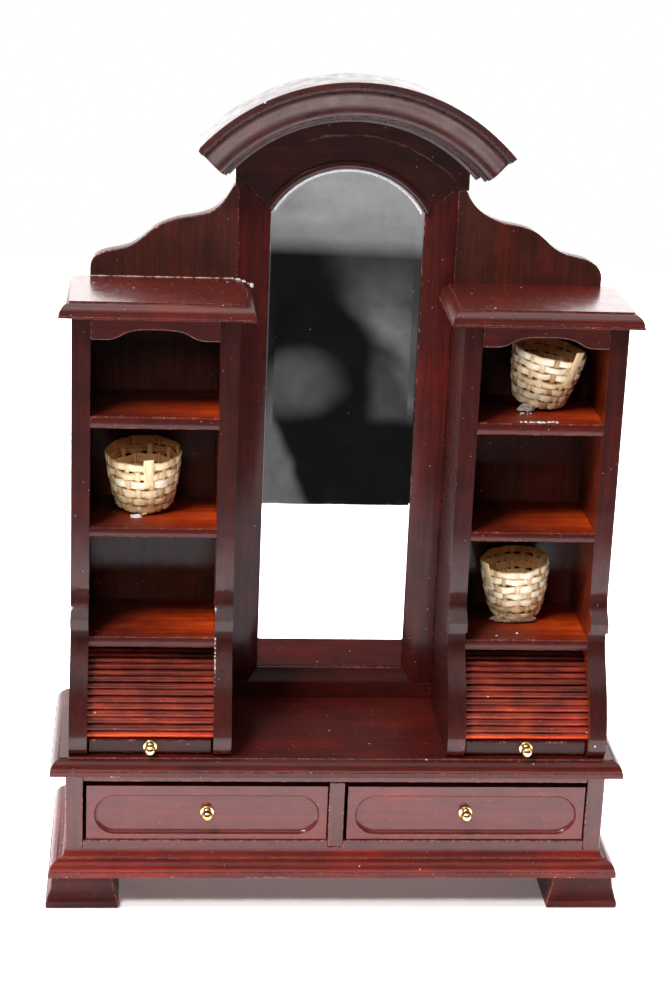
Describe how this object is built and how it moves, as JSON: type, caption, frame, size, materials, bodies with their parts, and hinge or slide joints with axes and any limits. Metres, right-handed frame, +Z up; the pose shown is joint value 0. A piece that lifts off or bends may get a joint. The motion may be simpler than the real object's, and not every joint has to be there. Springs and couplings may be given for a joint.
{
  "type": "miniature dressing table",
  "caption": "Dolls' house dressing table: arched mirror between open-shelved cabinets with roll-up tambours, over a two-drawer base on flared feet, with small woven baskets on the shelves.",
  "frame": {"origin": "middle of the footprint on the floor", "axes": "+Z up, front of the table towards -Y, +X to the viewer's right when facing the front"},
  "size_m": [0.1218, 0.0376, 0.171],
  "materials": {
    "mahogany": "high-gloss lacquer over dark red-brown stain",
    "brass": "polished",
    "mirror": "silvered glass",
    "card": "plain grey-brown card",
    "canvas": "fine dyed cotton",
    "bamboo": "bare split bamboo and paper splint, unfinished",
    "glue": "hardened clear adhesive"
  },
  "bodies": {
    "body": {"base_cove_moulding": "mahogany", "basket_glue": "glue", "basket_left_middle": "bamboo", "basket_right_bottom": "bamboo", "basket_right_top": "bamboo", "cabinet_left_back_board": "mahogany", "cabinet_left_inner_side": "mahogany", "cabinet_left_lower_shelf": "mahogany", "cabinet_left_middle_shelf": "mahogany", "cabinet_left_outer_side": "mahogany", "cabinet_left_top_board": "mahogany", "cabinet_left_upper_shelf": "mahogany", "cabinet_left_valance": "mahogany", "cabinet_right_back_board": "mahogany", "cabinet_right_inner_side": "mahogany", "cabinet_right_lower_shelf": "mahogany", "cabinet_right_middle_shelf": "mahogany", "cabinet_right_outer_side": "mahogany", "cabinet_right_top_board": "mahogany", "cabinet_right_upper_shelf": "mahogany", "cabinet_right_valance": "mahogany", "case_back": "mahogany", "case_divider": "mahogany", "case_floor": "mahogany", "case_side_left": "mahogany", "case_side_right": "mahogany", "case_top_rail": "mahogany", "crown_cornice": "mahogany", "foot_front_left": "mahogany", "foot_front_right": "mahogany", "foot_rear_left": "mahogany", "foot_rear_right": "mahogany", "mirror_arch_bead": "mahogany", "mirror_backing": "card", "mirror_bottom_rail": "mahogany", "mirror_glass": "mirror", "mirror_header": "mahogany", "mirror_stile_left": "mahogany", "mirror_stile_right": "mahogany", "plinth_board": "mahogany", "table_top": "mahogany"},
    "drawer_left": {"drawer_left_back": "mahogany", "drawer_left_bottom": "mahogany", "drawer_left_front": "mahogany", "drawer_left_knob": "brass", "drawer_left_sides": "mahogany"},
    "drawer_right": {"drawer_right_back": "mahogany", "drawer_right_bottom": "mahogany", "drawer_right_front": "mahogany", "drawer_right_knob": "brass", "drawer_right_sides": "mahogany"},
    "tambour_left": {"tambour_left_canvas": "canvas", "tambour_left_knob": "brass", "tambour_left_lip_rail": "mahogany", "tambour_left_slats": "mahogany"},
    "tambour_right": {"tambour_right_canvas": "canvas", "tambour_right_knob": "brass", "tambour_right_lip_rail": "mahogany", "tambour_right_slats": "mahogany"}
  },
  "joints": [
    {"name": "drawer_left_slide", "type": "slide", "parent": "body", "child": "drawer_left", "axis": [0, -1, 0], "range_m": [0, 0.022]},
    {"name": "drawer_right_slide", "type": "slide", "parent": "body", "child": "drawer_right", "axis": [0, -1, 0], "range_m": [0, 0.022]},
    {"name": "tambour_left_roll", "type": "hinge", "parent": "body", "child": "tambour_left", "pos_m": [-0.0394, 0.00445, 0.0352], "axis": [-1, 0, 0], "range_deg": [0, 48]},
    {"name": "tambour_right_roll", "type": "hinge", "parent": "body", "child": "tambour_right", "pos_m": [0.0394, 0.00445, 0.0352], "axis": [-1, 0, 0], "range_deg": [0, 48]}
  ]
}
